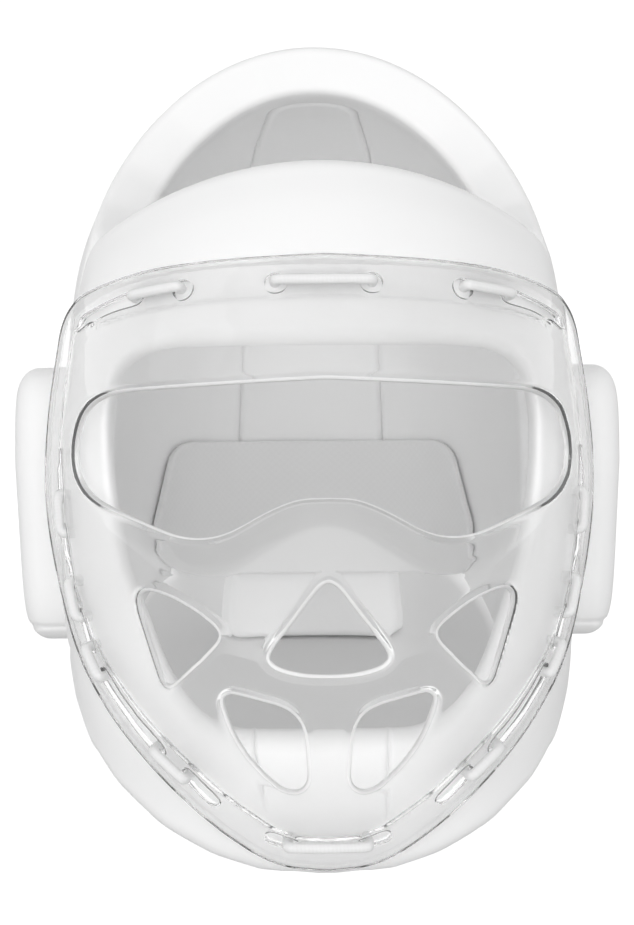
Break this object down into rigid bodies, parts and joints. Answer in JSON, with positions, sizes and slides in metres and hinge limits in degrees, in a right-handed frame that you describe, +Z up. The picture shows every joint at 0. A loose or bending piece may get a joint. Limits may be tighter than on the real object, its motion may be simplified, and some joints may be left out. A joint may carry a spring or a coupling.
{
  "type": "head guard",
  "caption": "Open-crown foam head guard for youth karate, with ear pads, a rear tongue and strap, and a clear moulded face mask laced to the shell.",
  "frame": {"origin": "on the ground, under the middle of the guard's bounding box, as it stands by itself on its chin and the foot of its tongue", "axes": "+X to the right seen from the front, +Y from the face to the back of the head, +Z up from the ground"},
  "size_m": [0.2176, 0.2758, 0.242],
  "materials": {
    "foam_white": "dipped foam with a soft satin skin",
    "strap_white": "woven elastic",
    "mask_clear": "clear polycarbonate, polished",
    "lace_white": "braided cord"
  },
  "bodies": {
    "root": {"front_shell": "foam_white", "crown_shell": "foam_white", "back_tongue": "foam_white", "ear_pad_left": "foam_white", "ear_pad_right": "foam_white", "rear_strap": "strap_white", "face_mask": "mask_clear", "lace_top": "lace_white", "lace_lower": "lace_white"}
  },
  "joints": []
}
